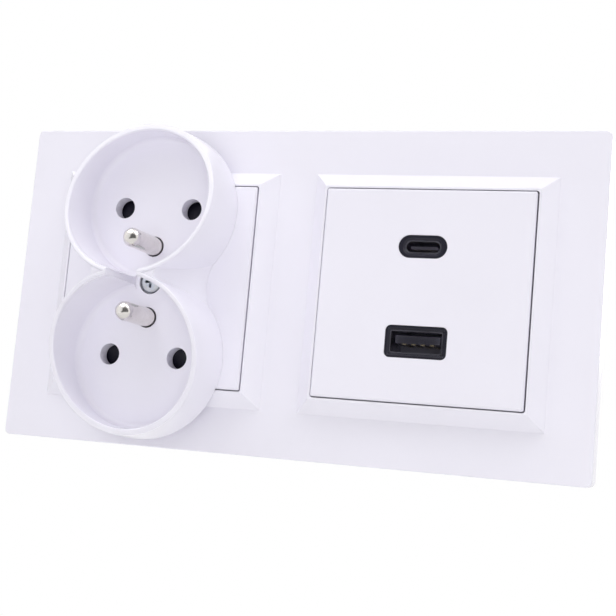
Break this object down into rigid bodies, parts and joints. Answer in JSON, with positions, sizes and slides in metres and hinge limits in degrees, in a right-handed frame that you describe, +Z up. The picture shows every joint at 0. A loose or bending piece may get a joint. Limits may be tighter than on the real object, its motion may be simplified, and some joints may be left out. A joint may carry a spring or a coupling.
{
  "type": "usb wall socket",
  "caption": "Wall outlet: a white cover frame holds an earthed socket with joined, slope-rimmed round cups beside a charger insert with a round-ended and a rectangular port.",
  "frame": {"origin": "on the wall plane, midway between the centres of both gangs, at the centre of the box screw pattern", "axes": "+X along the cover frame from the socket to the charger, +Y into the wall, +Z up; the front faces -Y"},
  "size_m": [0.1552, 0.0592, 0.0842],
  "materials": {
    "cover_plastic": "gloss white, moulded",
    "base_plastic": "light grey, moulded",
    "housing_plastic": "grey, fine moulded texture",
    "black_plastic": "near black, moulded",
    "pin_nickel": "nickel plated, satin",
    "contact_brass": "bare brass strip",
    "contact_gold": "gold flashed",
    "screw_zinc": "bright zinc plated",
    "spring_steel": "bare spring steel",
    "bracket_steel": "galvanised sheet",
    "claw_steel": "galvanised sheet",
    "shell_steel": "nickel plated sheet",
    "board_laminate": "green solder mask",
    "ferrite": "matt dark grey",
    "winding": "yellow taped copper winding",
    "capacitor_can": "dark sleeved can"
  },
  "bodies": {
    "outlet": {"capacitors": "capacitor_can", "charger_board": "board_laminate", "contact_cover": "base_plastic", "cover_frame": "cover_plastic", "cover_screw": "screw_zinc", "earth_strap": "contact_brass", "line_contact": "contact_brass", "lower_earth_pin": "pin_nickel", "lower_shutter_springs": "spring_steel", "neutral_contact": "contact_brass", "socket_base": "base_plastic", "socket_bracket": "bracket_steel", "socket_bracket_screws": "screw_zinc", "socket_claw_pins": "claw_steel", "socket_claw_screws": "screw_zinc", "socket_cover": "cover_plastic", "socket_terminal_screws": "screw_zinc", "transformer_coil": "winding", "transformer_core": "ferrite", "upper_earth_pin": "pin_nickel", "upper_shutter_springs": "spring_steel", "usb_a_bezel": "black_plastic", "usb_a_contacts": "contact_gold", "usb_a_shell": "shell_steel", "usb_a_tongue": "black_plastic", "usb_bracket": "bracket_steel", "usb_bracket_screws": "screw_zinc", "usb_c_bezel": "black_plastic", "usb_c_shell": "shell_steel", "usb_c_tongue": "black_plastic", "usb_carrier": "base_plastic", "usb_claw_pins": "claw_steel", "usb_claw_screws": "screw_zinc", "usb_cover": "cover_plastic", "usb_housing": "housing_plastic", "usb_terminal_block": "black_plastic", "usb_terminal_screws": "screw_zinc"},
    "upper_shutter": {"upper_shutter": "black_plastic"},
    "lower_shutter": {"lower_shutter": "black_plastic"},
    "socket_left_claw": {"socket_left_claw": "claw_steel"},
    "socket_right_claw": {"socket_right_claw": "claw_steel"},
    "usb_left_claw": {"usb_left_claw": "claw_steel"},
    "usb_right_claw": {"usb_right_claw": "claw_steel"}
  },
  "joints": [
    {"name": "upper_shutter_slide", "type": "slide", "parent": "outlet", "child": "upper_shutter", "axis": [0, 0, -1], "range_m": [0, 0.0064], "stiffness_N_per_m": 60, "springref_m": -0.004, "deforming": ["upper_shutter_springs"]},
    {"name": "lower_shutter_slide", "type": "slide", "parent": "outlet", "child": "lower_shutter", "axis": [0, 0, 1], "range_m": [0, 0.0064], "stiffness_N_per_m": 60, "springref_m": -0.004, "deforming": ["lower_shutter_springs"]},
    {"name": "socket_left_claw_spread", "type": "hinge", "parent": "outlet", "child": "socket_left_claw", "pos_m": [-0.0595, 0.0026, 0], "axis": [0, 0, 1], "range_deg": [0, 12]},
    {"name": "socket_right_claw_spread", "type": "hinge", "parent": "outlet", "child": "socket_right_claw", "pos_m": [-0.0115, 0.0026, 0], "axis": [0, 0, -1], "range_deg": [0, 12]},
    {"name": "usb_left_claw_spread", "type": "hinge", "parent": "outlet", "child": "usb_left_claw", "pos_m": [0.0115, 0.0026, 0], "axis": [0, 0, 1], "range_deg": [0, 12]},
    {"name": "usb_right_claw_spread", "type": "hinge", "parent": "outlet", "child": "usb_right_claw", "pos_m": [0.0595, 0.0026, 0], "axis": [0, 0, -1], "range_deg": [0, 12]}
  ]
}
